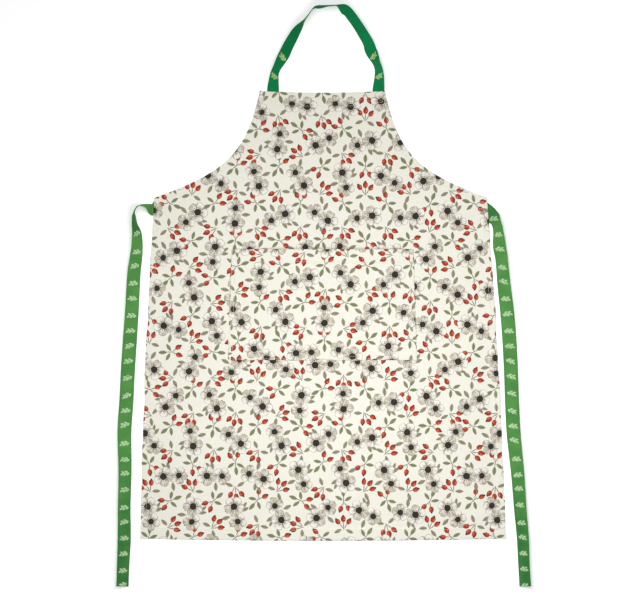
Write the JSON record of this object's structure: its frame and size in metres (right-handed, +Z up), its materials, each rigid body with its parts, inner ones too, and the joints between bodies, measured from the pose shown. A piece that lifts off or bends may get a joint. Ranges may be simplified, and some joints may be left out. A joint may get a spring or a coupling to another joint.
{
  "type": "bib apron",
  "caption": "Cotton bib apron lying flat: printed panel with curved armholes, wide patch pocket, neck strap in an open loop and waist ties laid along the sides.",
  "frame": {"origin": "on the surface that the apron lies on, under the middle of its waist line", "axes": "+X across the apron towards the right of the picture, +Y from the hem towards the neck, +Z up out of the printed face"},
  "size_m": [0.8042, 1.1292, 0.0275],
  "materials": {
    "printed_cotton": "matt plain-weave cotton, cream ground with a small scattered print",
    "neck_tape": "matt woven cotton tape, deep green with small pale marks",
    "tie_tape": "matt woven cotton tape, grass green with small pale marks"
  },
  "bodies": {
    "root": {"apron_panel": "printed_cotton", "pocket": "printed_cotton", "neck_strap": "neck_tape", "tie_left": "tie_tape", "tie_right": "tie_tape"}
  },
  "joints": []
}
